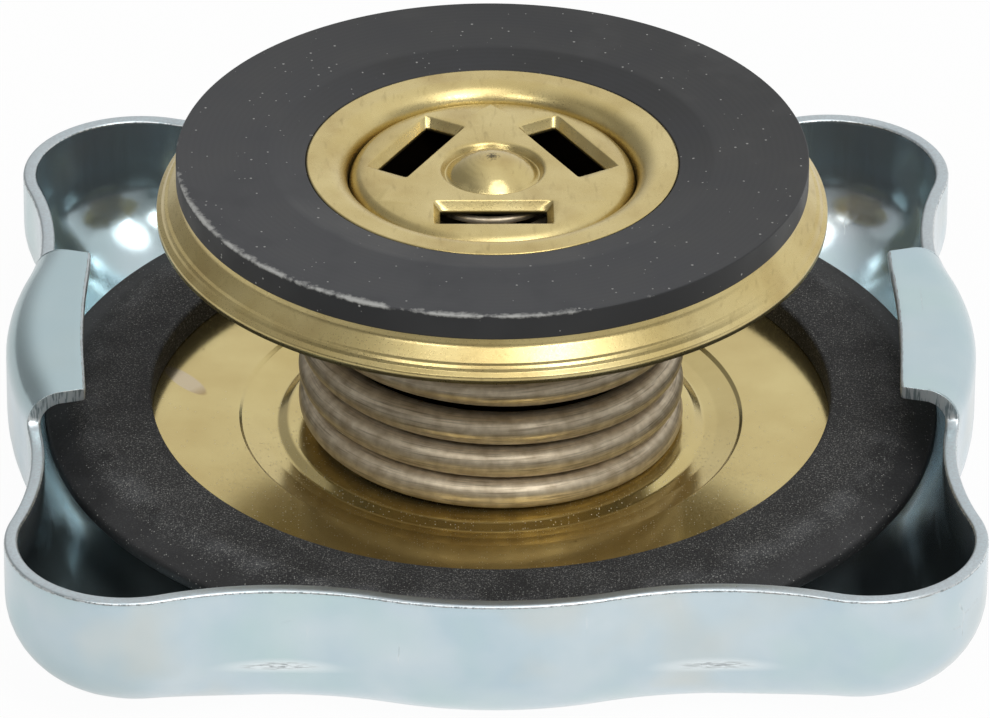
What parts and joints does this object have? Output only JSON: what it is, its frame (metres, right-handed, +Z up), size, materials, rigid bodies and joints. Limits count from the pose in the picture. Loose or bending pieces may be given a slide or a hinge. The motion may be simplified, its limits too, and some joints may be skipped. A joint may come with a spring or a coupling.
{
  "type": "radiator cap",
  "caption": "Radiator pressure cap: fluted square pressed-steel cover with bayonet tabs, rubber neck gasket, sprung brass pressure valve and a vacuum valve in a pierced cage.",
  "frame": {"origin": "middle of the cover's outer face, on which the cap stands upside down", "axes": "+Z up along the valve axis, from the outer face to the pressure seal; the bayonet tabs are at +X and -X"},
  "size_m": [0.065, 0.065, 0.0262],
  "materials": {
    "zinc_plated_steel": "bright zinc plate with faint blue and green tints",
    "rivet_steel": "plain steel",
    "polished_brass": "polished",
    "satin_brass": "satin, lightly scuffed",
    "gasket_rubber": "matt black, dusty",
    "seal_rubber": "matt dark grey",
    "spring_steel": "drawn wire, grey-brown"
  },
  "bodies": {
    "cover": {"outer_shell": "zinc_plated_steel"},
    "seat": {"centre_rivet": "rivet_steel", "friction_washer": "rivet_steel", "spring_diaphragm": "polished_brass", "neck_gasket": "gasket_rubber", "valve_hanger": "satin_brass", "pressure_spring": "spring_steel"},
    "pressure_valve": {"valve_plate": "satin_brass", "pressure_seal": "seal_rubber", "seal_retainer": "satin_brass", "vacuum_cage": "satin_brass", "vacuum_spring": "spring_steel"},
    "vacuum_poppet": {"vacuum_valve": "satin_brass", "vacuum_seal": "seal_rubber"}
  },
  "joints": [
    {"name": "cover_swivel", "type": "hinge", "parent": "cover", "child": "seat", "pos_m": [0, 0, 0], "axis": [0, 0, 1], "continuous": true},
    {"name": "pressure_lift", "type": "slide", "parent": "seat", "child": "pressure_valve", "axis": [0, 0, -1], "range_m": [0, 0.003], "stiffness_N_per_m": 9000, "springref_m": -0.0085, "deforming": ["pressure_spring"]},
    {"name": "vacuum_lift", "type": "slide", "parent": "pressure_valve", "child": "vacuum_poppet", "axis": [0, 0, 1], "range_m": [0, 0.001], "stiffness_N_per_m": 200, "springref_m": -0.002, "deforming": ["vacuum_spring"]}
  ]
}
